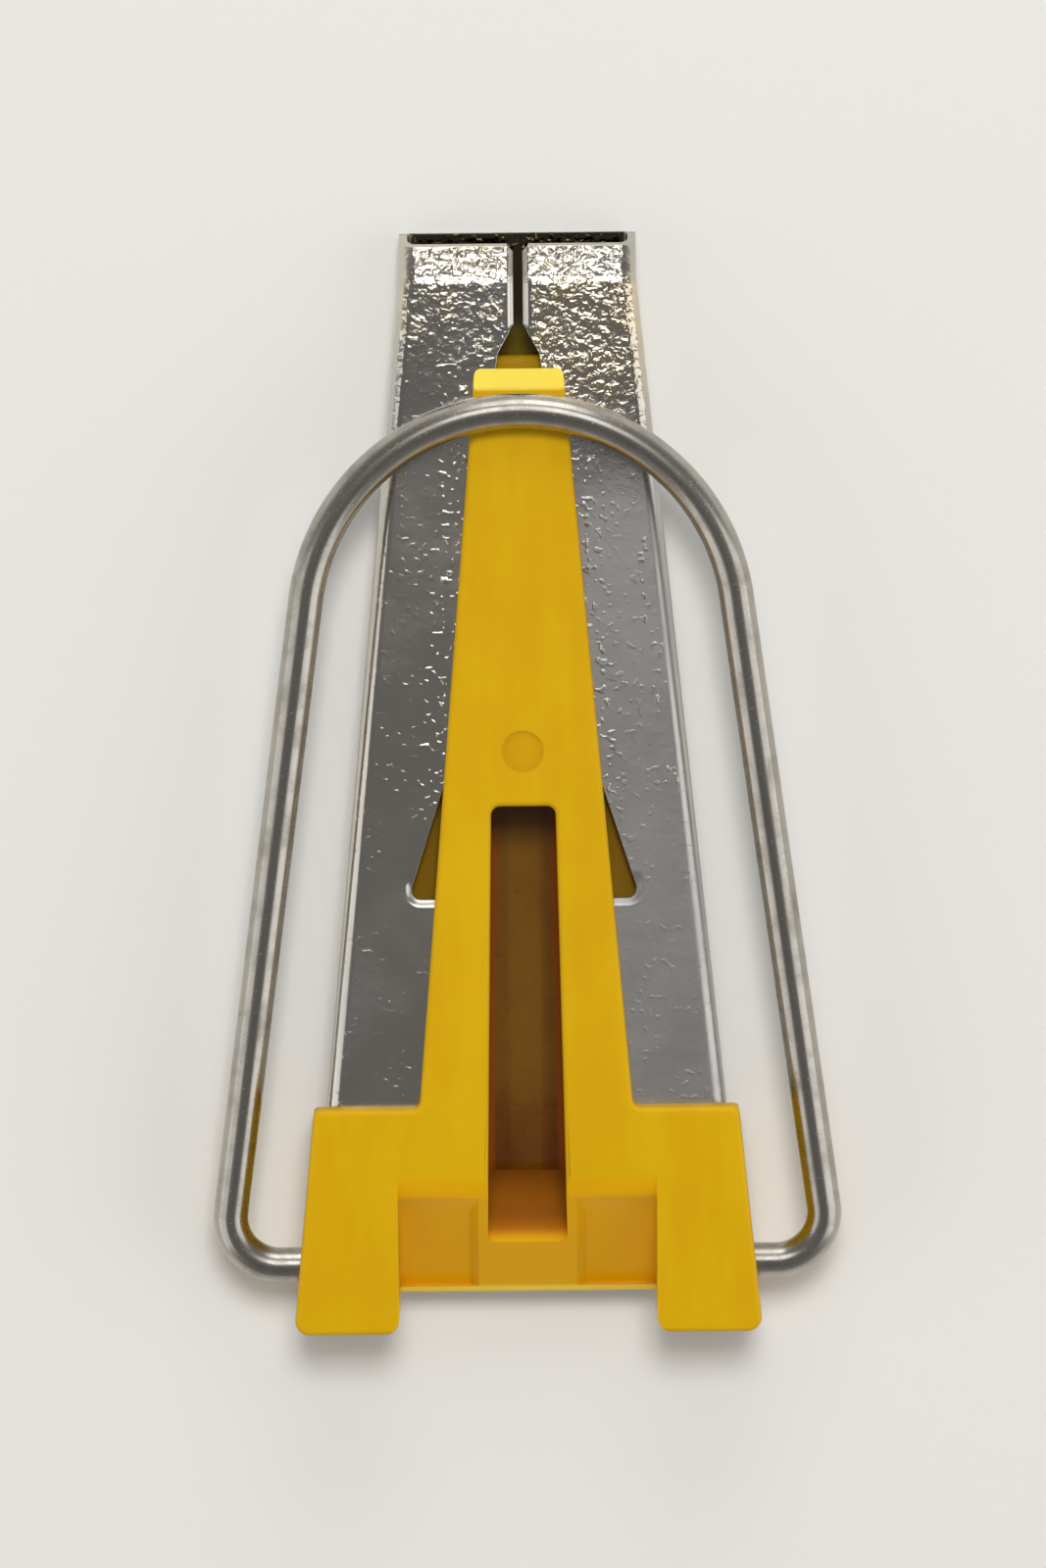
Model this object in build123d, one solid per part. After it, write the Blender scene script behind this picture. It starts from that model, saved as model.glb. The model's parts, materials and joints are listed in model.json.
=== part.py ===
from build123d import *
import os
from math import asin, atan2, cos, degrees, hypot, radians, sin, tan

# Bias tape maker for 12 mm tape: a folded steel body, a moulded guide and a swinging wire handle.
# It lies on its base with the narrow tip towards +Y. Sizes are in millimetres. Every place along the
# tool is measured from the ends of the wings, and the finished pieces are moved so that the origin is
# under the middle of the tool.

# Whole tool
overall_length = 60.0
tape_width = 12.0  # clear width at the tip, and the width of the finished tape
strip_width = 23.4  # clear width where the cloth strip goes in

# Steel body
sheet = 0.45
bend_radius = 0.9  # outside of the folds
mouth_setback = 1.0  # wide edge of the base, from the ends of the wings
crease_setback = 2.4  # from the tip to the crease where the flanges dip
crease_round = 1.5  # outside radius of that crease
tip_height = 2.3
crease_height = 3.2
shoulder_height = 6.3  # at the front of the wings
side_wall_height = 3.1  # beside the mouth, where there is no flange
tip_slant = 0.6  # how far the flanges stop short of the base at the tip
tip_foot = 0.9  # height of the base's turned-up edge at the tip
slit_width = 0.5
slit_flare = 0.55  # half width of the small V at the tip
neck_length = 2.4
neck_width = 2.5
neck_straight = 0.8  # the neck keeps most of its width this far, then closes to the slit
neck_draw = 0.12
gap_wide = 9.5  # gap between the flanges at the front of the wings
notch_back = 23.9
notch_reach = 1.25  # how far the notch shows beside the tongue at its widest
notch_show = 5.6  # length of the notch that shows beside the tongue
notch_corner = 0.5
notch_land = 0.65  # straight part of the notch's outer side

# Moulded guide
wing_length = 12.6
wing_cover = 2.2  # how far the wings reach over the ends of the flanges
skirt = 0.6  # wall of the wings outside the steel
skirt_lift = 0.4  # above the surface the tool lies on
skirt_rake = 1.5  # how far the skirt's front edge falls back towards its foot
recess_width = 14.2
recess_front = 8.1  # from here the recess slopes down to the mouth's lip
recess_bend = 3.0  # radius where that slope begins
pocket_front = 7.5
pocket_depth = 0.5  # of the pocket each side of the slot, below the slope
pocket_setback = 0.4  # from the lip to the pockets
rim_width = 5.4  # band between the pockets, round the slot
lip_setback = 1.4
lip_thickness = 1.3
tongue_setback = 7.2  # from the tip to the end of the tongue
tongue_tip_width = 4.8
tongue_root_width = 11.7
tongue_thickness = 1.2
tongue_ramp = 1.1
tongue_nose = 0.3
slot_back = 4.7
slot_front = 29.1
slot_back_width = 4.4
slot_front_width = 3.5
slot_slant = 3.3
slot_corner = 0.5
mark_diameter = 2.3  # ejector mark on the tongue
mark_place = 32.1
mark_depth = 0.08
former_overhang = 0.6  # past the end of the tongue
former_corner = 1.0
former_edge = 0.4
barb_reach = 0.8

# Room for the cloth
mouth_gap = 1.2
exit_gap = 0.55
top_gap = 0.6
side_gap = 0.7

# Fits between the guide and the steel
seat_gap = 0.03
web_gap = 0.12
wall_gap = 0.05

# Wire handle
wire = 1.9
pin_clearance = 0.06
pin_place = 3.5  # from the ends of the wings
pin_floor = 0.8  # plastic under the pin holes
pin_depth = 2.9
pin_end_gap = 0.3
pin_chamfer = 0.2
arch_setback = 2.1  # from the end of the tongue to the middle of the wire
arch_radius = 11.8
corner_radius = 2.7
handle_spread = 3.85  # from the wings to where a leg would meet the pin axis
rest_gap = 0.15  # between the wire and the tongue

# Rounding of moulded edges
wing_front_round = 0.5
wing_back_round = 0.8
wing_inner_round = 0.9
root_round = 0.45
tongue_round = 0.35
edge_round = 0.3
lip_round = 0.4

# Worked out from the sizes above
crease = overall_length - crease_setback
tongue_end = overall_length - tongue_setback
former_end = tongue_end + former_overhang
arch_place = tongue_end - arch_setback
flange_start = wing_length - wing_cover
wire_radius = wire / 2
bore_radius = wire_radius + pin_clearance
pin_height = side_wall_height + pin_floor + bore_radius
over = 5.0  # how far cutting shapes run past what they cut
past = 0.5  # the same, for shapes that follow the channel's taper
near = 0.01  # how close two places must be to count as one


def between(y, y_a, value_a, y_b, value_b):
    # Value at y on the straight line through two known ones.
    return value_a + (value_b - value_a) * (y - y_a) / (y_b - y_a)


def body_half(y):
    # Half of the steel's outside width.
    narrow = tape_width / 2 + sheet
    wide = strip_width / 2 + sheet
    return narrow if y > crease else between(y, mouth_setback, wide, crease, narrow)


def body_top(y):
    # Height of the flanges' upper face.
    if y > crease:
        return between(y, crease, crease_height, overall_length, tip_height)
    return between(y, wing_length, shoulder_height, crease, crease_height)


def wing_half(y):
    return body_half(y) + wall_gap + skirt


def gap_half(y):
    # Half of the gap between the flanges, under the tongue.
    return between(y, wing_length, gap_wide / 2, tongue_end, neck_width / 2)


def tongue_half(y):
    return between(y, wing_length, tongue_root_width / 2, tongue_end, tongue_tip_width / 2)


def slot_half(y):
    return between(y, slot_back, slot_back_width / 2, slot_front, slot_front_width / 2)


def former_floor(y):
    # Height of the guide's underside over the base.
    return sheet + between(y, lip_setback, mouth_gap, former_end, exit_gap)


def former_top(y):
    return body_top(y) - sheet - top_gap


def former_half(y):
    return body_half(y) - sheet - side_gap


wing_top = body_top(wing_length) + tongue_thickness
lip_top = former_floor(lip_setback) + lip_thickness


def cover_top(y):
    # Height of the wings, and of the tongue that slopes down from them.
    return wing_top if y < wing_length else body_top(y) + tongue_thickness


def plan(half_outline):
    # Closed face in plan from the points of its right half.
    left = [(-x, y) for x, y in reversed(half_outline) if x > 0]
    return make_face(Polyline(*half_outline, *left, close=True))


def corner_at(sketch, x, y):
    # The sketch's corners at (x, y) and at its mirror place.
    return [v for v in sketch.vertices() if abs(abs(v.X) - x) < near and abs(v.Y - y) < near]


def plate(sketch, low, high):
    return extrude(Pos(0, 0, low) * sketch, high - low)


def side_face(outline):
    # Closed face from (y, z) points in side view.
    return make_face(Polyline(*[(0, y, z) for y, z in outline], close=True))


def across(face, half_width):
    # Solid with the given face in side view, across the whole width.
    return extrude(face, half_width, dir=(1, 0, 0), both=True)


def side_shape(outline, half_width):
    return across(side_face(outline), half_width)


def channel(grow, start, end):
    # The closed tube that the body is folded from, filled, and grown by the same distance all round.
    places = [start, crease, end] if end > crease else [start, end]
    outline = plan([(0, start), *[(body_half(y) + grow, y) for y in places], (0, end)])
    upper = [(y, body_top(y) + grow) for y in reversed(places)]
    profile = side_face([(start, -grow), (end, -grow), *upper])
    if end > crease:
        outline = fillet(corner_at(outline, body_half(crease) + grow, crease), crease_round - grow)
        profile = fillet(corner_at(profile, 0, crease), crease_round + grow)
    block = plate(outline, -over, shoulder_height + over) & across(profile, strip_width)
    folds = [edge for edge in block.edges() if edge.bounding_box().size.Y > near]
    return fillet(folds, bend_radius + grow)


def notch_slope():
    # How fast the notch's long edge runs outwards towards the wide end.
    hidden = tongue_half(notch_back + notch_show)
    return (tongue_half(notch_back) + notch_reach - hidden) / notch_show


def notch_front():
    # Where the notch's long edge leaves the gap between the flanges.
    shown = notch_back + notch_show
    gap_slope = (gap_half(tongue_end) - gap_half(wing_length)) / (tongue_end - wing_length)
    return shown + (tongue_half(shown) - gap_half(shown)) / (notch_slope() + gap_slope)


def notch(side):
    # Notch in one flange, with its square edge towards the wide end.
    edge = tongue_half(notch_back) + notch_reach
    front = notch_front()
    inner = gap_half(front) - past
    outline = [
        (inner, front),
        (gap_half(front), front),
        (edge, notch_back + notch_land),
        (edge, notch_back),
        (inner, notch_back),
    ]
    face = make_face(Polyline(*[(side * x, y) for x, y in outline], close=True))
    return fillet(corner_at(face, edge, notch_back), notch_corner)


def flange_gap():
    # The slit, its V at the tip, the neck and the gap under the tongue, as one outline.
    slit = slit_width / 2
    flange_tip = overall_length - tip_slant
    return plan(
        [
            (gap_half(flange_start - over), flange_start - over),
            (neck_width / 2, tongue_end),
            (neck_width / 2 - neck_draw, tongue_end + neck_straight),
            (slit, tongue_end + neck_length),
            (slit, flange_tip - slit_flare + slit),
            (slit_flare, flange_tip),
            (slit_flare, overall_length + over),
        ]
    )


def steel_body():
    tip = overall_length
    above = shoulder_height + over
    shell = channel(0, mouth_setback, tip)
    shell -= channel(-sheet, mouth_setback - past, tip + past)
    inside = tip_height / 2
    shell -= plate(flange_gap(), inside, above)
    for side in (-1, 1):
        shell -= plate(notch(side), inside, above)
    open_mouth = [
        (-over, side_wall_height),
        (flange_start, side_wall_height),
        (flange_start, above),
        (-over, above),
    ]
    shell -= side_shape(open_mouth, strip_width)
    slanted_tip = [
        (tip - tip_slant, tip_height),
        (tip, tip_foot),
        (tip + over, tip_foot),
        (tip + over, above),
        (tip - tip_slant, above),
    ]
    shell -= side_shape(slanted_tip, strip_width)
    return shell


def guide_cover():
    # Tongue and wings as seen from above, still solid underneath and between the wings.
    outline = plan(
        [
            (0, 0),
            (wing_half(0), 0),
            (wing_half(wing_length), wing_length),
            (tongue_half(wing_length), wing_length),
            (tongue_half(tongue_end), tongue_end),
            (0, tongue_end),
        ]
    )
    rounds = [
        (wing_half(0), 0, wing_back_round),
        (wing_half(wing_length), wing_length, wing_front_round),
        (tongue_half(wing_length), wing_length, root_round),
        (tongue_half(tongue_end), tongue_end, tongue_round),
    ]
    for x, y, radius in rounds:
        outline = fillet(corner_at(outline, x, y), radius)
    ramp_start = tongue_end - tongue_ramp
    profile = [
        (-over, skirt_lift),
        (wing_length - skirt_rake, skirt_lift),
        (wing_length, body_top(wing_length) + seat_gap),
        (tongue_end, body_top(tongue_end) + seat_gap),
        (tongue_end, body_top(tongue_end) + tongue_nose),
        (ramp_start, body_top(ramp_start) + tongue_thickness),
        (wing_length, wing_top),
        (-over, wing_top),
    ]
    return plate(outline, 0, wing_top + over) & side_shape(profile, strip_width)


def upper_rim(solid):
    # The slot's rim, and the cover's back edge, from which the rounding follows the smooth outer rim.
    rim = []
    for face in solid.faces():
        middle = face.center()
        if middle.Z > cover_top(middle.Y) - near:
            rim += face.edges()
    half = slot_back_width / 2 + near

    def is_wanted(place):
        by_slot = slot_back - near < place.Y < slot_front + near and abs(place.X) < half
        return by_slot or abs(place.Y) < near

    return [edge for edge in rim if is_wanted(edge.center())]


def mouth():
    # Space between the ends of the wings, behind the lip.
    half = recess_width / 2
    wide = wing_half(0) + over
    outline = plan([(0, -over), (wide, -over), (wide, 0), (half, 0), (half, lip_setback), (0, lip_setback)])
    outline = fillet(corner_at(outline, half, 0), wing_inner_round)
    return plate(outline, -over, wing_top + over)


def slope_height(y):
    # Height of the slope that the recess follows.
    return between(y, lip_setback, lip_top, recess_front, wing_top)


def recess():
    # Slope from the top of the wings down to the mouth's lip.
    profile = side_face(
        [
            (-over, lip_top),
            (lip_setback, lip_top),
            (recess_front, wing_top),
            (wing_length, wing_top),
            (wing_length, wing_top + over),
            (-over, wing_top + over),
        ]
    )
    profile = fillet(corner_at(profile, 0, recess_front), recess_bend)
    return across(profile, recess_width / 2)


def pocket(side):
    # Pocket in the slope, with slanted sides towards the slot and the front.
    back = lip_setback + pocket_setback
    inner = rim_width / 2
    outline = [
        (inner - pocket_depth, pocket_depth),
        (inner + pocket_depth, -pocket_depth),
        (recess_width / 2, -pocket_depth),
        (recess_width / 2, pocket_depth),
    ]
    face = make_face(Polyline(*[(side * x, 0, slope_height(0) + z) for x, z in outline], close=True))
    run = (0, recess_front, slope_height(recess_front) - slope_height(0))
    trough = extrude(face, hypot(*run), dir=run)
    profile = [
        (back, slope_height(back) - pocket_depth),
        (pocket_front - 2 * pocket_depth, slope_height(pocket_front - 2 * pocket_depth) - pocket_depth),
        (pocket_front, slope_height(pocket_front)),
        (pocket_front, slope_height(pocket_front) + pocket_depth),
        (back, slope_height(back) + pocket_depth),
    ]
    return trough & side_shape(profile, recess_width / 2)


def former():
    # What the cloth folds round inside the channel.
    start = lip_setback
    outline = plan(
        [
            (0, start),
            (former_half(start), start),
            (former_half(former_end), former_end),
            (0, former_end),
        ]
    )
    outline = fillet(corner_at(outline, former_half(former_end), former_end), former_corner)
    profile = [
        (start, former_floor(start)),
        (former_end, former_floor(former_end)),
        (former_end, former_top(former_end)),
        (flange_start, former_top(flange_start)),
        (flange_start, side_wall_height + wall_gap),
        (start, side_wall_height + wall_gap),
    ]
    solid = plate(outline, 0, wing_top) & side_shape(profile, strip_width)
    long_edges = [edge for edge in solid.edges() if edge.bounding_box().size.Y > former_end / 2]
    return fillet(long_edges, former_edge)


def web():
    # Joins the tongue to the former through the gap, with a barb behind each notch's square edge.
    barb_back = notch_back + web_gap
    barb_front = notch_front() - web_gap
    bite = tongue_nose / 2

    def web_half(y):
        return gap_half(y) - web_gap

    outline = plan(
        [
            (0, flange_start),
            (web_half(flange_start), flange_start),
            (web_half(barb_back), barb_back),
            (web_half(barb_back) + barb_reach, barb_back),
            (web_half(barb_front), barb_front),
            (web_half(tongue_end), tongue_end - web_gap),
            (0, tongue_end - web_gap),
        ]
    )
    profile = [
        (flange_start, former_top(flange_start) - bite),
        (tongue_end, former_top(tongue_end) - bite),
        (tongue_end, body_top(tongue_end) + bite),
        (flange_start, body_top(flange_start) + bite),
    ]
    return plate(outline, 0, wing_top) & side_shape(profile, strip_width)


def slot():
    # Slot for the awl, right through the guide, with a slanted end at the back.
    outline = plan(
        [
            (0, slot_back),
            (slot_half(slot_back), slot_back),
            (slot_half(slot_front), slot_front),
            (0, slot_front),
        ]
    )
    for y in (slot_back, slot_front):
        outline = fillet(corner_at(outline, slot_half(y), y), slot_corner)
    floor = former_floor(slot_back)
    profile = [
        (slot_back + slot_slant, floor - over),
        (slot_back + slot_slant, floor),
        (slot_back, slope_height(slot_back)),
        (slot_back, wing_top + over),
        (slot_front + over, wing_top + over),
        (slot_front + over, floor - over),
    ]
    return plate(outline, -over, wing_top + over) & side_shape(profile, strip_width)


def pin_holes():
    # Blind holes for the handle's pins.
    mouth = wing_half(pin_place)
    bottom = mouth - pin_depth - pin_end_gap
    holes = []
    for side in (-1, 1):
        middle = side * (bottom + mouth + over) / 2
        drill = Cylinder(bore_radius, mouth + over - bottom, rotation=(0, 90, 0))
        holes.append(Pos(middle, pin_place, pin_height) * drill)
    return holes


def low_room(grow, start):
    # Room under the wings, from the given place on, for the steel's low side walls or for the cloth.
    outline = plan(
        [
            (0, start),
            (body_half(start) + grow, start),
            (body_half(flange_start) + grow, flange_start),
            (0, flange_start),
        ]
    )
    return plate(outline, -over, side_wall_height + wall_gap)


def lip_edges(solid):
    # The two long edges of the mouth's lip, which the cloth and the recess run down to.
    heights = (former_floor(lip_setback), lip_top)

    def on_lip(place):
        return abs(place.Y - lip_setback) < near and any(abs(place.Z - z) < near for z in heights)

    return [edge for edge in solid.edges() if on_lip(edge.center())]


def ejector_mark():
    # Shallow round mark on the tongue.
    slope = (crease_height - shoulder_height) / (crease - wing_length)
    surface = Plane(origin=(0, mark_place, cover_top(mark_place)), z_dir=(0, -slope, 1))
    return surface * Cylinder(mark_diameter / 2, 2 * mark_depth)


def plastic_guide():
    guide = guide_cover() - slot()
    guide = fillet(upper_rim(guide), edge_round)
    guide -= channel(wall_gap, flange_start - wall_gap, wing_length + past)
    guide -= low_room(wall_gap, mouth_setback - wall_gap)
    guide -= low_room(-sheet, -over)
    guide -= mouth()
    guide += former()
    guide += web()
    guide -= slot()
    guide -= recess()
    for side in (-1, 1):
        guide -= pocket(side)
    guide = fillet(lip_edges(guide), lip_round)
    guide -= ejector_mark()
    for hole in pin_holes():
        guide -= hole
    return guide


def handle_frame():
    # Plane of the handle at rest: it starts on the pin axis and just clears the tongue.
    slope = atan2(body_top(wing_length) - body_top(crease), crease - wing_length)
    arch_height = body_top(arch_place) + (tongue_thickness + wire_radius + rest_gap) / cos(slope)
    run = arch_place - pin_place
    rise = arch_height - pin_height
    tilt = degrees(atan2(rise, run))
    plane = Plane(origin=(0, pin_place, pin_height), x_dir=(1, 0, 0), z_dir=(0, 0, 1)).rotated((tilt, 0, 0))
    return plane, hypot(run, rise)


def wire_path(reach):
    # Half of the handle's centre line: pin, corner, leg, and the arch that joins it to the other half.
    pin_inner = wing_half(pin_place) - pin_depth
    foot = wing_half(0) + handle_spread
    centre = reach - arch_radius
    lean = atan2(foot, centre) - asin(arch_radius / hypot(foot, centre))
    setback = corner_radius * tan((radians(90) + lean) / 2)
    bend_centre = (foot - setback, corner_radius)
    away = atan2(-corner_radius, setback)
    bend_middle = (
        bend_centre[0] + corner_radius * cos(away),
        bend_centre[1] + corner_radius * sin(away),
    )
    leg_start = (foot - setback * sin(lean), setback * cos(lean))
    leg_end = (arch_radius * cos(lean), centre + arch_radius * sin(lean))
    return pin_inner, bend_centre[0], bend_middle, leg_start, leg_end


def wire_handle():
    plane, reach = handle_frame()
    pin_inner, pin_outer, bend_middle, leg_start, leg_end = wire_path(reach)

    def mirrored(point):
        return (-point[0], point[1])

    edges = [
        Line((pin_inner, 0), (pin_outer, 0)),
        ThreePointArc((pin_outer, 0), bend_middle, leg_start),
        Line(leg_start, leg_end),
        ThreePointArc(leg_end, (0, reach), mirrored(leg_end)),
        Line(mirrored(leg_end), mirrored(leg_start)),
        ThreePointArc(mirrored(leg_start), mirrored(bend_middle), (-pin_outer, 0)),
        Line((-pin_outer, 0), (-pin_inner, 0)),
    ]
    path = Wire([edge.edge() for edge in edges])
    start = Plane(origin=(pin_inner, 0, 0), z_dir=(1, 0, 0))
    bar = sweep(start * Circle(wire_radius), path)
    ends = bar.faces().filter_by(GeomType.PLANE).edges()
    bar = chamfer(ends, pin_chamfer)
    print("wire length", round(path.length, 2), "volume", round(bar.volume, 1))
    return plane.location * bar


def main():
    os.makedirs("parts", exist_ok=True)
    to_middle = Pos(0, -overall_length / 2, 0)
    pieces = {
        "steel_body": steel_body(),
        "plastic_guide": plastic_guide(),
        "wire_handle": wire_handle(),
    }
    for name, piece in pieces.items():
        export_step(to_middle * piece, f"parts/{name}.step")
    print("pin axis at y", round(pin_place - overall_length / 2, 3), "z", round(pin_height, 3))


main()
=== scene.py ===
# Looks of the bias tape maker: nickel-plated steel body, yellow moulded guide and bent wire handle.
import json
import math
import bmesh
import bpy
from mathutils import Euler, Matrix, Vector


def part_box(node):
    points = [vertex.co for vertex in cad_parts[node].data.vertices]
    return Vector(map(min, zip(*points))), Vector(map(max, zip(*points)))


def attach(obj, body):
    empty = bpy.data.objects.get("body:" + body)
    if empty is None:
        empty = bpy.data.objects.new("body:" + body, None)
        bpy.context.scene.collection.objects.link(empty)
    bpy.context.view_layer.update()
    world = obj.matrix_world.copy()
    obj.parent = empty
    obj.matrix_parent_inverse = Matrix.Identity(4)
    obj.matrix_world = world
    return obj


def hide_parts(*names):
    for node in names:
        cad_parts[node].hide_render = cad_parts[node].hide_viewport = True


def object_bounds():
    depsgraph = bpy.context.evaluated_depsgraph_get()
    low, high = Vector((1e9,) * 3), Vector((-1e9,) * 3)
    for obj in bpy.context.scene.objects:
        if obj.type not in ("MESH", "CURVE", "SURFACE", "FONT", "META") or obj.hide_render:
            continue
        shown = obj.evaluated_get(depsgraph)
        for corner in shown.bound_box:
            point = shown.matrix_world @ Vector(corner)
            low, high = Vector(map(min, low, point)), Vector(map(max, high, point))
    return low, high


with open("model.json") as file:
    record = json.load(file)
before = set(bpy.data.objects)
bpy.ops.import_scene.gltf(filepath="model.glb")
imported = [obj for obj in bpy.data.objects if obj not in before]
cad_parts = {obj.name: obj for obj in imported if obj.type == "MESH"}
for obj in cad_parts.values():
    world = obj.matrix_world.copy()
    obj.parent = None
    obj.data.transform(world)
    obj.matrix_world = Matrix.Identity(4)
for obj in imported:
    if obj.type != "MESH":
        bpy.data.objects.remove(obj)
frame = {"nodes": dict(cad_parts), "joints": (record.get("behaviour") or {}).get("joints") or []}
cadLow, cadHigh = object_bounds()
mm = 0.001
print("frame loaded, box in mm:", [round(v / mm, 1) for v in (*cadLow, *cadHigh)])


class Pen:
    # Writes nodes into a tree. A pen that holds a socket can be added, multiplied and so on like a number.
    def __init__(self, tree, socket=None):
        self.tree = tree
        self.socket = socket

    def make(self, kind, settings=None, inputs=None, out=0):
        # Stops, choices and captures add to the node's own lists, and any other setting is set by its name.
        node = self.tree.nodes.new(kind)
        for name, value in (settings or {}).items():
            if name == "stops":
                self.addStops(node.color_ramp, value)
            elif name == "choices":
                self.addChoices(node, value)
            elif name == "captures":
                node.capture_items.new(*value)
            else:
                setattr(node, name, value)
        for name, value in (inputs or {}).items():
            self.feed(node.inputs[name], value)
        return Pen(self.tree, node.outputs[out] if node.outputs else None)

    def feed(self, socket, value):
        if isinstance(value, Pen):
            self.tree.links.new(value.socket, socket)
        else:
            socket.default_value = value

    def other(self, name):
        # Another output of the same node.
        return Pen(self.tree, self.socket.node.outputs[name])

    def addStops(self, ramp, places):
        while len(ramp.elements) < len(places):
            ramp.elements.new(1)
        for element, (place, shade) in zip(ramp.elements, places):
            element.position = place
            element.color = (shade, shade, shade, 1)

    def addChoices(self, node, count):
        while len(node.index_switch_items) < count:
            node.index_switch_items.new()

    def math(self, operation, first, second=0.0):
        return self.make("ShaderNodeMath", {"operation": operation}, {0: first, 1: second})

    def __add__(self, other):
        return self.math("ADD", self, other)

    def __sub__(self, other):
        return self.math("SUBTRACT", self, other)

    def __mul__(self, other):
        return self.math("MULTIPLY", self, other)

    def __truediv__(self, other):
        return self.math("DIVIDE", self, other)

    def __pow__(self, other):
        return self.math("POWER", self, other)

    def __neg__(self):
        return self.math("MULTIPLY", self, -1.0)

    def __rsub__(self, other):
        return self.math("SUBTRACT", other, self)

    def __rtruediv__(self, other):
        return self.math("DIVIDE", other, self)

    def __rpow__(self, other):
        return self.math("POWER", other, self)

    __radd__ = __add__
    __rmul__ = __mul__

    def size(self):
        return self.math("ABSOLUTE", self)

    def atLeast(self, other):
        return self.math("MAXIMUM", self, other)

    def atMost(self, other):
        return self.math("MINIMUM", self, other)

    def above(self, span):
        # A mask: 0 before the span, 1 past it, smooth inside it.
        inputs = {"Value": self, "From Min": span[0], "From Max": span[1]}
        return self.make("ShaderNodeMapRange", {"interpolation_type": "SMOOTHSTEP"}, inputs)

    def below(self, span):
        return 1 - self.above(span)

    def within(self, rise, fall):
        # A mask that is 1 from the end of one span to the start of the next.
        return self.above(rise) * self.below(fall)

    def spread(self, ends):
        # The first number where this mask is 0, the second where it is 1.
        return self * (ends[1] - ends[0]) + ends[0]

    def blend(self, first, second):
        # A colour that goes from the first to the second with this mask. The node has sockets of one name
        # for each kind of value, so those for colours go by their numbers.
        settings = {"data_type": "RGBA"}
        return self.make("ShaderNodeMix", settings, {"Factor": self, 6: first, 7: second}, out=2)


def colour(red, green, blue):
    # Linear colour from the 0-255 values that a screen shows, by the sRGB curve.
    def linear(value):
        share = value / 255
        return share / 12.92 if share <= 0.04045 else ((share + 0.055) / 1.055) ** 2.4

    return (linear(red), linear(green), linear(blue), 1.0)


def newFinish(name):
    # A new material, its pen and its Principled shader.
    material = bpy.data.materials.new(name)
    material.use_nodes = True
    tree = material.node_tree
    return material, Pen(tree), tree.nodes["Principled BSDF"]


def millimetres(pen):
    # Place on the piece in millimetres, and its three parts.
    place = pen.make("ShaderNodeTexCoord", out="Object")
    place = pen.make("ShaderNodeVectorMath", {"operation": "SCALE"}, {0: place, "Scale": 1 / mm})
    parts = pen.make("ShaderNodeSeparateXYZ", inputs={0: place})
    return place, *[parts.other(axis) for axis in "XYZ"]


def pattern(
    pen, place, scale=1.0, stretch=None, turn=0.0, span=None, detail=2.0, roughness=0.5, distortion=0.0
):
    # Noise, with its scale to the millimetre. A stretch turns it in plan and makes it longer than wide, and
    # a span makes a mask of it.
    if stretch:
        settings = {"rotation_type": "Z_AXIS"}
        place = pen.make("ShaderNodeVectorRotate", settings, {"Vector": place, "Angle": turn})
        place = pen.make("ShaderNodeVectorMath", {"operation": "MULTIPLY"}, {0: place, 1: stretch})
    inputs = {"Vector": place, "Scale": scale, "Detail": detail}
    inputs |= {"Roughness": roughness, "Distortion": distortion}
    marks = pen.make("ShaderNodeTexNoise", inputs=inputs)
    return marks.above(span) if span else marks


def patterns(pen, place, choices):
    return {name: pattern(pen, place, **values) for name, values in choices.items()}


def weighted(marks, weights):
    # The sum of the named patterns and masks, each times its weight.
    return sum(marks[name] * weight for name, weight in weights.items())


def distance(across, along):
    return (across * across + along * along) ** 0.5


def relief(pen, shader, height):
    # Bump from a height in millimetres.
    bump = pen.make("ShaderNodeBump", inputs={"Height": height, "Distance": mm, "Strength": 1.0})
    pen.feed(shader.inputs["Normal"], bump)


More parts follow.
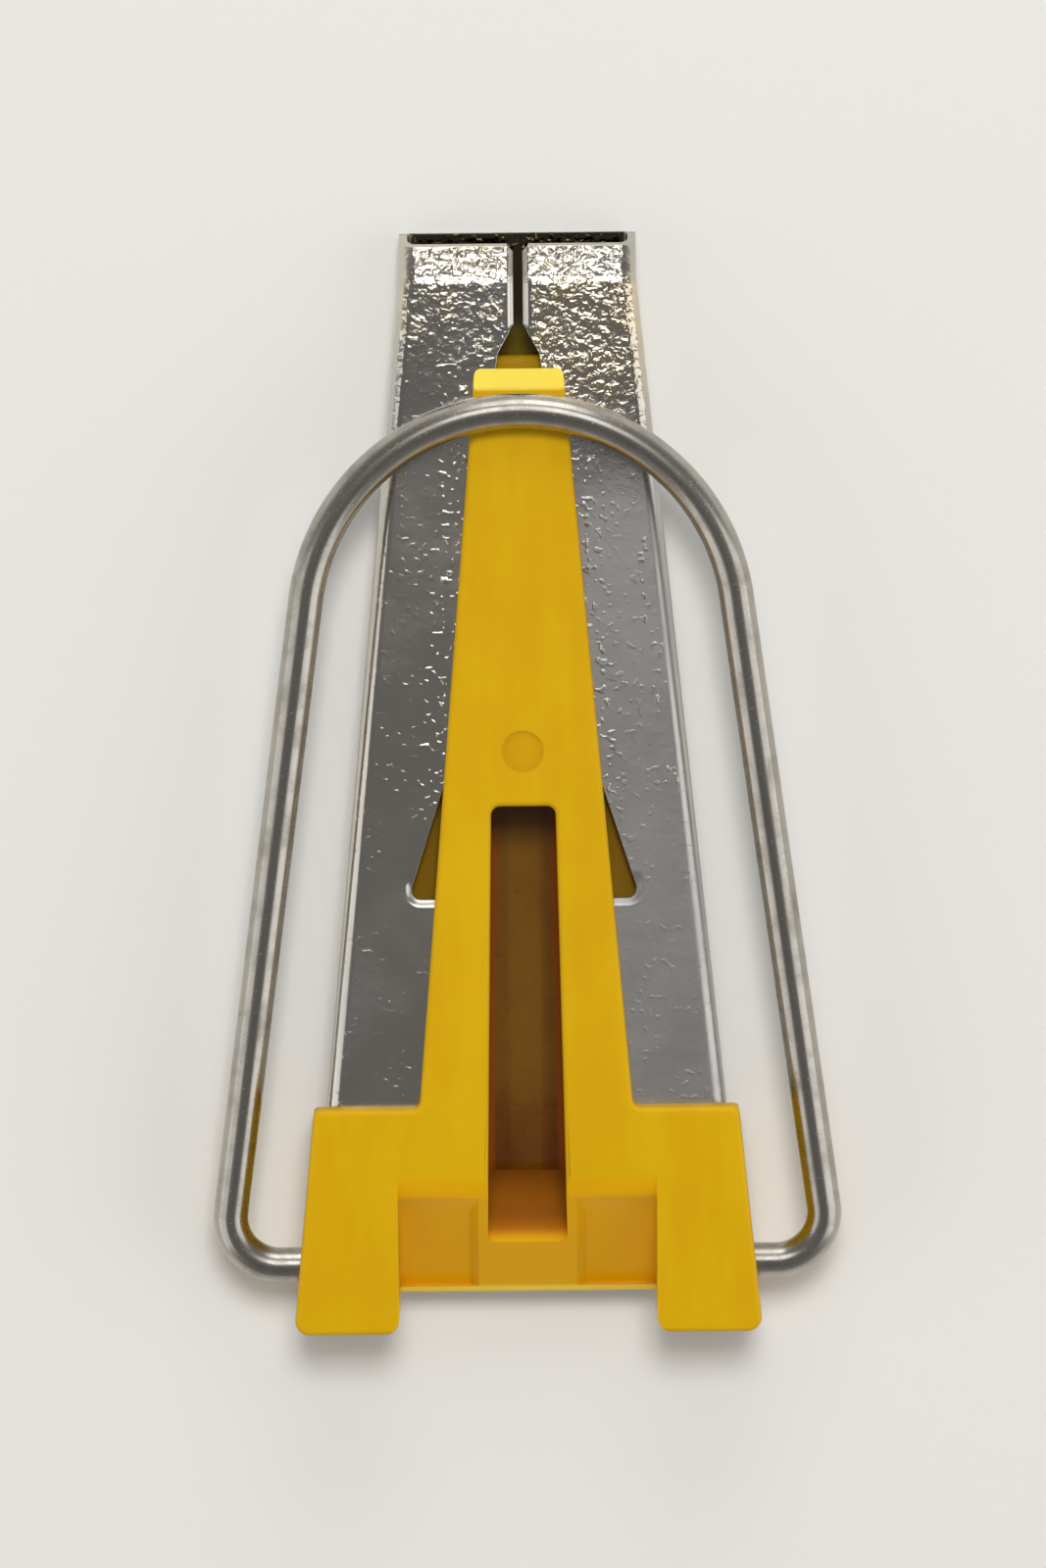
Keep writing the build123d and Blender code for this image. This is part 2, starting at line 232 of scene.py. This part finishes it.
# In the looks of each piece, places are in millimetres in the part's frame, where y runs towards the tip.
# A pair of places is a span, over which a mask rises or falls. A pair of strengths holds the two ends that
# a mask or the patches go between.
sheetLooks = {
    "bright": colour(208, 202, 192),
    "dull": colour(176, 176, 176),
    "grainGlint": colour(224, 210, 182),
    "inside": colour(72, 58, 24),
    "neckFloor": colour(112, 92, 8),
    "slotFloor": colour(138, 94, 22),
    "slotDeep": colour(104, 54, 4),
    "slotSide": colour(176, 84, 4),
    "patterns": {
        "grain": {"scale": 2.3, "detail": 1.6, "distortion": 0.5},
        "specks": {"scale": 2.9, "detail": 0.0, "span": (0.60, 0.76)},
        "patches": {"scale": 0.55, "detail": 3.0, "roughness": 0.6, "span": (0.47, 0.62)},
        "peel": {"scale": 0.8, "detail": 3.0},
        "nicks": {"stretch": (0.8, 5.0, 1.0), "turn": 0.1, "detail": 1.0, "span": (0.755, 0.775)},
        "streaks": {"stretch": (9.0, 0.13, 1.0), "turn": 0.15, "detail": 1.0, "span": (0.73, 0.77)},
        "cloud": {"scale": 0.14, "detail": 4.0, "roughness": 0.6, "span": (0.35, 0.7)},
    },
    "hazeFrom": {"cloud": 0.35, "rightSide": 0.65},
    "dullFrom": {"haze": 0.8, "streaks": 0.15},
    "deepFrom": {"slotEnd": 0.7, "stripSide": 0.25, "patches": 0.15},
    "roughness": 0.12,
    "roughnessFrom": {"backHaze": 0.27, "rolled": 0.2, "streaks": 0.06},
    "heightFrom": {  # in millimetres
        "grain": 0.140,
        "specks": 0.05,
        "peel": 0.014,
        "nicks": 0.045,
        "streaks": -0.001,
        "rolled": -0.20,
    },
    # The channel's inside is the base's upper face, between the fold lines, painted dark olive as its shade
    # and its reflection of the guide.
    "tipHalf": 6.0,
    "taper": 0.0997,
    "crease": 27.6,
    "insideLevel": ((0.36, 0.44), (0.6, 0.8)),
    "insideSide": (-0.2, 0.0),
    "insideShare": 0.9,
    # The grain lies past the crease and on both flanges behind it.
    "tipAlong": (27.5, 27.8),
    "tipGrain": (0.34, 0.44),
    "flangeEnd": (27.3, 27.9),
    "rightAlong": (15.5, 23.5),
    "rightAcross": (-0.6, 1.2),
    "rightGrain": (0.50, 0.66),
    "leftAlong": (20.0, 26.5),
    "leftAcross": (-1.2, 0.6),
    "leftGrain": (0.25, 0.55),
    "glintTintAmount": (0.2, 0.7),
    # The specks lie beside the tongue and along the right fold, and a few elsewhere.
    "tongueHalf": 3.77,  # half the tongue's width at y = 0, which shrinks towards the tip
    "tongueTaper": 0.059,
    "tongueSide": (0.6, 2.2),
    "tongueAlong": (-7.0, 4.0),
    "tongueSpecks": (0.405, 0.855),
    "foldInset": 0.7,
    "foldSide": (0.2, 0.5),
    "foldRight": (0.0, 1.0),
    "foldAlong": (-14.0, 8.0),
    "foldSpecks": 0.9,
    "otherSpecks": (0.03, 0.13),
    # The slit's edges, most of the channel's inside and the underside have neither.
    "cleanAcross": (0.55, 0.8),
    "cleanEnd": (28.8, 29.1),
    "cleanLevel": (0.1, 0.3),
    # The haze is thicker on the right, and matt only behind the tip.
    "hazeAcross": (-3.182, 5.909),
    "hazeEnd": (13.0, 21.0),
    # The flanges' edges are rolled down along the slit and round the notches' corners.
    "slitAcross": (0.24, 0.60),
    "slitAlong": (24.7, 25.2),
    "notchSide": 5.63,  # centre and radius of the rounded corner
    "notchBack": -5.6,
    "notchRound": 0.5,
    "notchEdge": (0.0, 0.45),
    "notchFront": (-5.5, -4.6),
    "notchInner": (3.0, 3.4),
    "notchShare": 0.58,
    "rolledLevel": (1.0, 1.4),
    # The floor that shows through the neck and the slot mirrors only the guide, so there its reflection of
    # the guide and its shade are painted into its colour, and it is made less metallic.
    "paintedReflectionShare": 0.85,
    "neckAcross": (1.4, 2.0),
    "neckAlong": ((21.0, 22.0), (24.4, 25.6)),
    "slotAcross": (2.0, 3.2),
    "slotFront": (-1.0, 1.0),
    "slotEnd": (-22.0, -15.0),
    "slotStrip": (0.7, 1.1),
    "slotHalf": 1.733,  # half the slot's width at y = 0, which shrinks towards the tip
    "slotTaper": 0.0184,
    "wallSide": (-0.55, -0.1),
    "wallShare": 0.8,
}


def platingMarks(looks, x, y, z, side, inside, patches):
    # Strengths of the plating's grain and specks.
    tip = y.above(looks["tipAlong"]) * patches.spread(looks["tipGrain"])
    right = y.above(looks["rightAlong"]) * x.above(looks["rightAcross"])
    left = y.above(looks["leftAlong"]) * x.below(looks["leftAcross"])
    flanges = right * patches.spread(looks["rightGrain"]) + left * patches.spread(looks["leftGrain"])
    grain = tip + flanges * y.below(looks["flangeEnd"])
    tongue = x.size() + y * looks["tongueTaper"] - looks["tongueHalf"]
    beside = tongue.below(looks["tongueSide"]) * y.above(looks["tongueAlong"])
    fold = (side + looks["foldInset"]).size().below(looks["foldSide"]) * x.above(looks["foldRight"])
    fold = fold * y.above(looks["foldAlong"]) * patches * looks["foldSpecks"]
    specks = (beside * patches.spread(looks["tongueSpecks"])).atLeast(fold)
    specks = specks + patches.spread(looks["otherSpecks"])
    slit = x.size().below(looks["cleanAcross"]) * y.below(looks["tipAlong"])
    clean = slit.atLeast(inside * y.below(looks["cleanEnd"]))
    outside = (1 - clean) * z.above(looks["cleanLevel"])
    return grain * outside, specks * outside


def rolledEdges(looks, x, y, z):
    slit = x.size().below(looks["slitAcross"]) * y.above(looks["slitAlong"])
    across = (x.size() - looks["notchSide"]).atLeast(0.0)
    along = (looks["notchBack"] - y).atLeast(0.0)
    notch = (distance(across, along) - looks["notchRound"]).below(looks["notchEdge"])
    notch = notch * y.below(looks["notchFront"]) * x.size().above(looks["notchInner"])
    return slit.atLeast(notch * looks["notchShare"]) * z.above(looks["rolledLevel"])


def nickelSheet(looks):
    material, pen, shader = newFinish("nickelSheet")
    place, x, y, z = millimetres(pen)
    marks = patterns(pen, place, looks["patterns"])
    side = x.size() - (looks["crease"] - y).atLeast(0.0) * looks["taper"] - looks["tipHalf"]
    inside = z.within(*looks["insideLevel"]) * side.below(looks["insideSide"])
    grainGlint, specked = platingMarks(looks, x, y, z, side, inside, marks["patches"])
    marks["grain"] = marks["grain"] * grainGlint
    marks["specks"] = marks["specks"] * specked
    marks["rolled"] = rolledEdges(looks, x, y, z)
    marks["rightSide"] = x.above(looks["hazeAcross"])
    marks["haze"] = weighted(marks, looks["hazeFrom"])
    marks["backHaze"] = marks["haze"] * y.below(looks["hazeEnd"])
    face = weighted(marks, looks["dullFrom"]).blend(looks["bright"], looks["dull"])
    # Where the grain lies the nickel is paler and creamier, a painted warm tint of its glints.
    face = (grainGlint * (1 - inside)).above(looks["glintTintAmount"]).blend(face, looks["grainGlint"])
    # The channel's inside is painted dark olive: painted shade with a painted reflection of the yellow
    # guide.
    face = (inside * looks["insideShare"]).blend(face, looks["inside"])
    # The floor seen through the neck is painted olive, a painted reflection of the guide in shade.
    neck = inside * x.size().below(looks["neckAcross"]) * y.within(*looks["neckAlong"])
    face = neck.blend(face, looks["neckFloor"])
    # The slot's floor is painted with the guide's reflection in shade: darker towards its back and beside a
    # pale strip in the middle, and orange along the walls.
    marks["slotEnd"] = y.below(looks["slotEnd"])
    marks["stripSide"] = x.size().above(looks["slotStrip"])
    floor = weighted(marks, looks["deepFrom"]).blend(looks["slotFloor"], looks["slotDeep"])
    wall = (x.size() + y * looks["slotTaper"] - looks["slotHalf"]).above(looks["wallSide"])
    floor = (wall * looks["wallShare"]).blend(floor, looks["slotSide"])
    slot = inside * x.size().below(looks["slotAcross"]) * y.below(looks["slotFront"])
    pen.feed(shader.inputs["Base Color"], slot.blend(face, floor))
    pen.feed(shader.inputs["Roughness"], weighted(marks, looks["roughnessFrom"]) + looks["roughness"])
    pen.feed(shader.inputs["Metallic"], 1 - (slot + neck) * looks["paintedReflectionShare"])
    relief(pen, shader, weighted(marks, looks["heightFrom"]))
    return material


wireLooks = {
    "bright": colour(182, 177, 168),
    "dull": colour(118, 112, 104),
    "drawing": {  # patterns that run along the wire
        "lines": {"stretch": (9.0, 9.0, 0.05), "detail": 3.0, "roughness": 0.6},
        "broad": {"stretch": (1.6, 1.6, 0.03), "detail": 1.0},
    },
    "patterns": {
        "stain": {"scale": 0.5, "detail": 4.0, "roughness": 0.6, "span": (0.4, 0.75)},
        "pits": {"scale": 6.0, "span": (0.66, 0.72)},
    },
    "deepLines": (0.5, 0.8),
    "dullFrom": {"stain": 0.5, "deepLines": 0.3},
    "roughness": 0.20,
    "roughnessFrom": {"stain": 0.10, "pits": 0.15, "lines": 0.06},
    "heightFrom": {"lines": 0.003, "broad": 0.0018, "pits": -0.0024},  # in millimetres
}


def nickelWire(looks):
    material, pen, shader = newFinish("nickelWire")
    drawn = pen.make("ShaderNodeAttribute", {"attribute_name": "drawn"}, out="Vector")
    marks = patterns(pen, drawn, looks["drawing"])
    marks |= patterns(pen, millimetres(pen)[0], looks["patterns"])
    marks["deepLines"] = marks["lines"].above(looks["deepLines"])
    face = weighted(marks, looks["dullFrom"]).blend(looks["bright"], looks["dull"])
    pen.feed(shader.inputs["Base Color"], face)
    pen.feed(shader.inputs["Roughness"], weighted(marks, looks["roughnessFrom"]) + looks["roughness"])
    shader.inputs["Metallic"].default_value = 1.0
    relief(pen, shader, weighted(marks, looks["heightFrom"]))
    return material


plasticLooks = {
    "face": colour(206, 160, 0),
    "pale": colour(213, 171, 6),
    "deep": colour(184, 131, 0),
    "pocket": colour(224, 164, 0),
    "paintedHighlight": colour(242, 220, 84),
    "upperWallShade": colour(172, 92, 0),
    "slot": colour(88, 42, 0),
    "shaded": colour(120, 89, 8),
    "patterns": {
        "cloud": {"scale": 0.16, "detail": 3.0, "roughness": 0.6, "span": (0.3, 0.75)},
        "flow": {"stretch": (0.5, 0.09, 0.5), "span": (0.35, 0.7)},
        "texture": {"scale": 4.5, "detail": 3.0, "roughness": 0.6},
        "sink": {"scale": 0.22, "detail": 1.0},
        "scuffs": {"stretch": (0.5, 9.0, 1.0), "turn": 0.5, "detail": 1.0, "span": (0.74, 0.77)},
    },
    "paleShare": 0.6,
    "cloudShare": 0.16,
    "roughness": 0.42,
    "roughnessFrom": {"texture": 0.12, "scuffs": 0.12, "wall": 0.3, "flow": -0.05},
    "heightFrom": {"texture": 0.005, "sink": 0.020, "scuffs": -0.003},  # in millimetres
    "specular": 0.18,
    "scatter": 0.12,
    "scatterRadius": (1.0, 0.55, 0.1),
    "scatterScale": 0.8 * mm,
    # The tongue's top lies above the flanges' upper face. Its sloped end is painted pale, a painted
    # highlight, and the ejector's mark is painted a little darker, most at its rim, as painted shade.
    "flangeHeight": 4.55,
    "flangeSlope": -0.0689,
    "topLevel": (0.1, 0.3),
    "rampAlong": (21.6, 21.9),
    "rampShare": 0.85,
    "markPlace": 2.1,
    "markRadius": 1.15,
    "markEdge": (-0.12, 0.08),
    "markRim": (-0.6, -0.1),
    "markShare": (0.35, 0.50),
    # The recess slopes up from the lip towards the slot. It is warmer in colour, most in its two pockets,
    # where it is also painted paler to lift the shade that falls there.
    "slopeHeight": 22.37,
    "slopeRise": 0.679,
    "recessDepth": (-0.5, 0.0),
    "recessAcross": (7.0, 7.3),
    "recessAlong": (-22.2, -20.8),
    "pocketAcross": (2.0, 4.2),
    "pocketShare": (0.85, 1.0),
    # Painted shade: the slot's walls darken with their depth below the top, orange then dark brown, and
    # depth counts for more at the slot's back.
    "coverHeight": 7.50,
    "coverBend": -17.4,
    "slotAcross": (2.18, 2.32),
    "slotAlong": ((-25.4, -25.1), (-0.9, -0.7)),
    "backAlong": (-23.5, -21.5),
    "backDepth": (1.9, 1.0),
    "upperShadeDepth": (0.1, 2.4),
    "upperShadeShare": 0.85,
    "wallDepth": (0.9, 4.4),
    "wallAlong": (-23.5, -21.0),
    "wallShare": (0.5, 1.0),
    # The lip's edge is painted pale, a painted highlight.
    "lipAlong": (-28.3, -28.05),
    "lipAcross": (7.0, 7.2),
    "lipLevel": (2.0, 2.4),
    "lipShare": 0.6,
    # What lies under the flanges is seen in their shade.
    "underDepth": (0.2, 0.45),
    "underAlong": (-19.0, -17.5),
    "underTip": (22.2, 22.8),
    "underTipShare": (1.0, 0.6),
    "underShare": 0.95,
}


def slotWalls(looks, x, y, z, slope):
    # Masks of the walls' painted shade: an orange band near the top and a darker lower part.
    cover = (y - looks["coverBend"]).atLeast(0.0) * looks["flangeSlope"] + looks["coverHeight"]
    inSlot = x.size().below(looks["slotAcross"]) * y.within(*looks["slotAlong"])
    depth = (cover.atMost(slope) - z) * y.above(looks["backAlong"]).spread(looks["backDepth"])
    upperWallShade = inSlot * depth.above(looks["upperShadeDepth"]) * looks["upperShadeShare"]
    dark = inSlot * depth.above(looks["wallDepth"]) * y.above(looks["wallAlong"]).spread(looks["wallShare"])
    return upperWallShade, dark


def yellowPlastic(looks):
    material, pen, shader = newFinish("yellowPlastic")
    place, x, y, z = millimetres(pen)
    marks = patterns(pen, place, looks["patterns"])
    flange = y * looks["flangeSlope"] + looks["flangeHeight"]
    top = (z - flange).above(looks["topLevel"])
    ramp = top * y.above(looks["rampAlong"])
    # The ejector's mark is painted darker, most at its rim: painted shade of its shallow dimple.
    away = distance(x, y - looks["markPlace"]) - looks["markRadius"]
    mark = away.below(looks["markEdge"]) * away.above(looks["markRim"]).spread(looks["markShare"]) * top
    slope = y * looks["slopeRise"] + looks["slopeHeight"]
    recess = (slope - z).above(looks["recessDepth"]) * x.size().below(looks["recessAcross"])
    recess = recess * y.below(looks["recessAlong"])
    pockets = x.size().above(looks["pocketAcross"]).spread(looks["pocketShare"])
    upperWallShade, marks["wall"] = slotWalls(looks, x, y, z, slope)
    lip = y.below(looks["lipAlong"]) * x.size().below(looks["lipAcross"]) * z.above(looks["lipLevel"])
    under = (flange - z).above(looks["underDepth"]) * y.above(looks["underAlong"])
    under = under * y.above(looks["underTip"]).spread(looks["underTipShare"])
    # Layers over the plastic's own colour and clouds: painted highlights on the tongue's end and the lip,
    # painted light in the pockets, and painted shade in the mark, the slot and under the flanges.
    layers = [
        (ramp * looks["rampShare"], "paintedHighlight"),
        (mark, "deep"),
        (marks["cloud"] * looks["cloudShare"], "deep"),
        (recess * pockets, "pocket"),
        (upperWallShade, "upperWallShade"),
        (marks["wall"], "slot"),
        (lip * looks["lipShare"], "paintedHighlight"),
        (under * looks["underShare"], "shaded"),
    ]
    face = (marks["flow"] * looks["paleShare"]).blend(looks["face"], looks["pale"])
    for mask, shade in layers:
        face = mask.blend(face, looks[shade])
    pen.feed(shader.inputs["Base Color"], face)
    pen.feed(shader.inputs["Roughness"], weighted(marks, looks["roughnessFrom"]) + looks["roughness"])
    relief(pen, shader, weighted(marks, looks["heightFrom"]))
    shader.inputs["Specular IOR Level"].default_value = looks["specular"]
    shader.inputs["Subsurface Weight"].default_value = looks["scatter"]
    shader.inputs["Subsurface Radius"].default_value = looks["scatterRadius"]
    shader.inputs["Subsurface Scale"].default_value = looks["scatterScale"]
    return material


edges = {
    "samePoint": 0.0005 * mm,
    "flat": math.radians(0.4),  # faces that meet at less are joined
    "sharp": math.radians(32),  # edges that bend by more are eased, or shaded sharp on the wire
    "segments": 2,
    "steelWidth": 0.09 * mm,
    "guideWidth": 0.08 * mm,
}


def addObject(name, data):
    thing = bpy.data.objects.new(name, data)
    bpy.context.scene.collection.objects.link(thing)
    return thing


def tidyMesh(source, target, flat=None):
    # Writes the source to the target with double points merged and, where asked, flat faces joined.
    shape = bmesh.new()
    shape.from_mesh(source)
    bmesh.ops.remove_doubles(shape, verts=shape.verts, dist=edges["samePoint"])
    if flat:
        bmesh.ops.dissolve_limit(shape, angle_limit=flat, verts=shape.verts, edges=shape.edges)
    bmesh.ops.recalc_face_normals(shape, faces=shape.faces)
    shape.to_mesh(target)
    shape.free()


def applyModifiers(thing):
    # Gives the object the plain mesh that its modifiers make, and removes them.
    depsgraph = bpy.context.evaluated_depsgraph_get()
    mesh = bpy.data.meshes.new_from_object(thing.evaluated_get(depsgraph))
    thing.modifiers.clear()
    thing.data = mesh
    return mesh


def finePiece(nodeName, pieceName, finish, body, edgeWidth):
    # A merged copy of a node with its sharp edges eased, so that they catch the light.
    mesh = bpy.data.meshes.new(pieceName)
    tidyMesh(frame["nodes"][nodeName].data, mesh, edges["flat"])
    # The node's own normals don't fit the joined faces.
    for layer in [a for a in mesh.attributes if a.name == "custom_normal"]:
        mesh.attributes.remove(layer)
    mesh.shade_smooth()
    piece = addObject(pieceName, mesh)
    easing = piece.modifiers.new("easing", "BEVEL")
    easing.width = edgeWidth
    easing.segments = edges["segments"]
    easing.limit_method = "ANGLE"
    easing.angle_limit = edges["sharp"]
    easing.use_clamp_overlap = True
    easing.miter_outer = "MITER_ARC"
    flatten = piece.modifiers.new("flatten", "WEIGHTED_NORMAL")
    flatten.weight = 100
    flatten.keep_sharp = True
    eased = applyModifiers(piece)
    eased.materials.clear()
    eased.materials.append(finish)
    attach(piece, body)
    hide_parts(nodeName)
    print(pieceName, "has", len(eased.polygons), "faces")


handleSizes = {
    "wireRadius": 0.95 * mm,
    "pinEnd": 9.82 * mm,  # this and the leg's foot are measured out from the middle
    "legFoot": 16.75 * mm,
    "cornerRadius": 2.7 * mm,
    "archRadius": 11.8 * mm,
    "chamfer": 0.2 * mm,
    "sides": 40,
    "bendSteps": 96,
}


def handleTree(values):
    # Bends a wire from seven points: pin, corner, arch, corner, pin, each end with a small chamfer.
    kinds = {
        float: "NodeSocketFloat",
        int: "NodeSocketInt",
        Vector: "NodeSocketVector",
        bpy.types.Material: "NodeSocketMaterial",
    }
    tree = bpy.data.node_groups.new("bentWire", "GeometryNodeTree")
    tree.interface.new_socket("Geometry", in_out="OUTPUT", socket_type="NodeSocketGeometry")
    for name, value in values.items():
        tree.interface.new_socket(name, in_out="INPUT", socket_type=kinds[type(value)])
    pen = Pen(tree)
    given = pen.make("NodeGroupInput")
    size = {name: given.other(name) for name in values}

    def spot(across, along):
        return pen.make("ShaderNodeCombineXYZ", inputs={"X": across, "Y": along})

    def choose(kind, choices):
        # A value for each of the line's points, by its number.
        inputs = {"Index": pen.make("GeometryNodeInputIndex")} | dict(enumerate(choices, 1))
        return pen.make("GeometryNodeIndexSwitch", {"data_type": kind, "choices": len(choices)}, inputs)

    half = [size["pinEnd"], size["pinEnd"] + size["chamfer"], size["legFoot"]]
    spots = [spot(across, 0.0) for across in half]
    spots += [spot(0.0, size["apex"])]
    spots += [spot(-across, 0.0) for across in reversed(half)]
    line = pen.make("GeometryNodeMeshLine", inputs={"Count": len(spots)})
    inputs = {"Geometry": line, "Position": choose("VECTOR", spots)}
    line = pen.make("GeometryNodeSetPosition", inputs=inputs)
    path = pen.make("GeometryNodeMeshToCurve", inputs={"Mesh": line})
    thin = (size["wireRadius"] - size["chamfer"]) / size["wireRadius"]
    inputs = {"Curve": path, "Radius": choose("FLOAT", [thin, 1.0, 1.0, 1.0, 1.0, 1.0, thin])}
    path = pen.make("GeometryNodeSetCurveRadius", inputs=inputs)
    bends = [0.0, 0.0, size["cornerRadius"], size["archRadius"], size["cornerRadius"], 0.0, 0.0]
    inputs = {"Curve": path, "Radius": choose("FLOAT", bends), "Count": size["bendSteps"]}
    path = pen.make("GeometryNodeFilletCurve", {"mode": "POLY"}, inputs)
    turn = pen.make("ShaderNodeCombineXYZ", inputs={"X": size["tilt"]})
    inputs = {"Geometry": path, "Translation": size["pivot"], "Rotation": turn}
    path = pen.make("GeometryNodeTransform", inputs=inputs)
    inputs = {"Geometry": path, "length": pen.make("GeometryNodeSplineParameter", out="Length")}
    path = pen.make("GeometryNodeCaptureAttribute", {"captures": ("FLOAT", "length")}, inputs)
    inputs = {"Resolution": size["sides"], "Radius": size["wireRadius"]}
    ring = pen.make("GeometryNodeCurvePrimitiveCircle", inputs=inputs)
    inputs = {"Geometry": ring, "around": pen.make("GeometryNodeInputPosition")}
    ring = pen.make("GeometryNodeCaptureAttribute", {"captures": ("VECTOR", "around")}, inputs)
    inputs = {"Curve": path, "Profile Curve": ring, "Fill Caps": True}
    sweep = pen.make("GeometryNodeCurveToMesh", inputs=inputs)
    # The finish needs the place round the wire and the length along it, in millimetres.
    inputs = {0: ring.other("around"), "Scale": 1 / mm}
    around = pen.make("ShaderNodeVectorMath", {"operation": "SCALE"}, inputs)
    parts = pen.make("ShaderNodeSeparateXYZ", inputs={0: around})
    inputs = {"X": parts.other("X"), "Y": parts.other("Y"), "Z": path.other("length") / mm}
    drawn = pen.make("ShaderNodeCombineXYZ", inputs=inputs)
    settings = {"data_type": "FLOAT_VECTOR", "domain": "POINT"}
    inputs = {"Geometry": sweep, "Name": "drawn", "Value": drawn}
    stored = pen.make("GeometryNodeStoreNamedAttribute", settings, inputs)
    real = pen.make("GeometryNodeRealizeInstances", inputs={"Geometry": stored})
    coated = pen.make("GeometryNodeSetMaterial", inputs={"Geometry": real, "Material": size["finish"]})
    pen.make("NodeGroupOutput", inputs={"Geometry": coated})
    return tree


def wireHandle(sizes, finish):
    joint = next(j for j in frame["joints"] if j["name"] == "handle_swing")
    pivot = Vector(joint["pos_m"])
    # The node's far corner gives the wire's reach and tilt, and the legs touch the arch.
    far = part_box("wire_handle")[1]
    run = far.y - sizes["wireRadius"] - pivot.y
    rise = far.z - sizes["wireRadius"] - pivot.z
    arch = sizes["archRadius"]
    foot = sizes["legFoot"]
    centre = math.hypot(run, rise) - arch
    lean = math.atan2(foot, centre) - math.asin(arch / math.hypot(foot, centre))
    values = sizes | {"apex": foot / math.tan(lean), "tilt": math.atan2(rise, run)}
    values |= {"pivot": pivot, "finish": finish}
    piece = addObject("wireHandle", bpy.data.meshes.new("wireHandle"))
    bending = piece.modifiers.new("bending", "NODES")
    bending.node_group = handleTree(values)
    for item in bending.node_group.interface.items_tree:
        if item.in_out == "INPUT":
            bending[item.identifier] = values[item.name]
    mesh = applyModifiers(piece)
    tidyMesh(mesh, mesh)
    mesh.shade_smooth()
    mesh.set_sharp_from_angle(angle=edges["sharp"])
    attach(piece, "handle")
    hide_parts("wire_handle")
    print("wireHandle has", len(mesh.polygons), "faces")


floorLooks = {
    "half": 1.5,  # half its side, in metres
    "drop": 0.02 * mm,  # so that the floor and the base don't lie in one plane
    "colour": colour(226, 224, 219),
    "roughness": 0.75,
}


def layFloor(looks):
    material, _, shader = newFinish("paleFloor")
    shader.inputs["Base Color"].default_value = looks["colour"]
    shader.inputs["Roughness"].default_value = looks["roughness"]
    half = looks["half"]
    low = -looks["drop"]
    corners = [(-half, -half, low), (half, -half, low), (half, half, low), (-half, half, low)]
    mesh = bpy.data.meshes.new("floor")
    mesh.from_pydata(corners, [], [(0, 1, 2, 3)])
    mesh.materials.append(material)
    addObject("floor", mesh)


studio = {  # lengths in metres, power in watts
    "keyPower": 2.55,
    "keySize": 0.18,
    "keyDistance": 0.75,
    "keyElevation": math.radians(66),
    "keyAzimuth": math.radians(5),
    "panel": 2.5,  # a soft panel round the key lamp, which metal mirrors instead of the lamp
    "panelEdge": (math.cos(math.radians(17)), math.cos(math.radians(11))),
    "sky": [(0.0, 0.74), (0.08, 0.70), (0.22, 0.42), (0.5, 0.23), (0.8, 0.175), (1.0, 0.165)],
    "otherLamps": {  # power, size and place from the middle of the part
        "lowLamp": (2.2, 0.50, (0.05, 0.90, 0.42)),
        "rightLamp": (1.5, 0.65, (0.62, -0.12, 0.42)),
        "leftLamp": (1.1, 0.65, (-0.62, -0.2, 0.38)),
    },
}


def softLamp(name, power, size, place, target):
    data = bpy.data.lights.new(name, "AREA")
    data.energy = power
    data.size = size
    lamp = addObject(name, data)
    lamp.location = place
    lamp.rotation_euler = (target - place).to_track_quat("-Z", "Y").to_euler()
    return lamp


def lightStudio(centre):
    rise = studio["keyElevation"]
    side = studio["keyAzimuth"]
    toKey = Vector((math.sin(side) * math.cos(rise), math.cos(side) * math.cos(rise), math.sin(rise)))
    world = bpy.data.worlds.new("softSky")
    bpy.context.scene.world = world
    world.use_nodes = True
    pen = Pen(world.node_tree)
    direction = pen.make("ShaderNodeTexCoord", out="Generated")
    up = pen.make("ShaderNodeSeparateXYZ", inputs={0: direction}, out="Z")
    sky = pen.make("ShaderNodeValToRGB", {"stops": studio["sky"]}, {0: up})
    settings = {"operation": "DOT_PRODUCT"}
    facing = pen.make("ShaderNodeVectorMath", settings, {0: direction, 1: toKey}, out="Value")
    panel = facing.above(studio["panelEdge"]) * studio["panel"]
    pen.feed(world.node_tree.nodes["Background"].inputs["Color"], sky + panel)
    keyPlace = centre + toKey * studio["keyDistance"]
    key = softLamp("keyLamp", studio["keyPower"], studio["keySize"], keyPlace, centre)
    key.visible_glossy = False
    for name, (power, size, place) in studio["otherLamps"].items():
        softLamp(name, power, size, centre + Vector(place), centre)


view = {  # lengths in metres, but for the sensor in millimetres
    "distance": 0.35,
    "lean": math.radians(8),
    "roll": math.radians(-0.6),
    "fieldHeight": 0.086,
    "sensor": 36.0,
    "nearest": 0.02,
    "farthest": 10,
}


def aimCamera(centre):
    data = bpy.data.cameras.new("camera")
    data.sensor_width = view["sensor"]
    data.lens = view["sensor"] * view["distance"] / view["fieldHeight"]
    data.clip_start = view["nearest"]
    data.clip_end = view["farthest"]
    camera = addObject("camera", data)
    back = Vector((0, math.sin(view["lean"]), math.cos(view["lean"])))
    camera.location = centre + back * view["distance"]
    tilt = Euler((-view["lean"], 0, 0)).to_matrix()
    camera.rotation_euler = (tilt @ Matrix.Rotation(view["roll"], 3, "Z")).to_euler()
    bpy.context.scene.camera = camera


sheetNickel = nickelSheet(sheetLooks)
wireNickel = nickelWire(wireLooks)
yellow = yellowPlastic(plasticLooks)
print("finishes made")
finePiece("steel_body", "steelBody", sheetNickel, "folder", edges["steelWidth"])
finePiece("plastic_guide", "plasticGuide", yellow, "folder", edges["guideWidth"])
wireHandle(handleSizes, wireNickel)
layFloor(floorLooks)
middle = (cadLow + cadHigh) / 2
lightStudio(middle)
aimCamera(middle)
bpy.context.scene.view_settings.view_transform = "Standard"
print("floor, light and camera set")
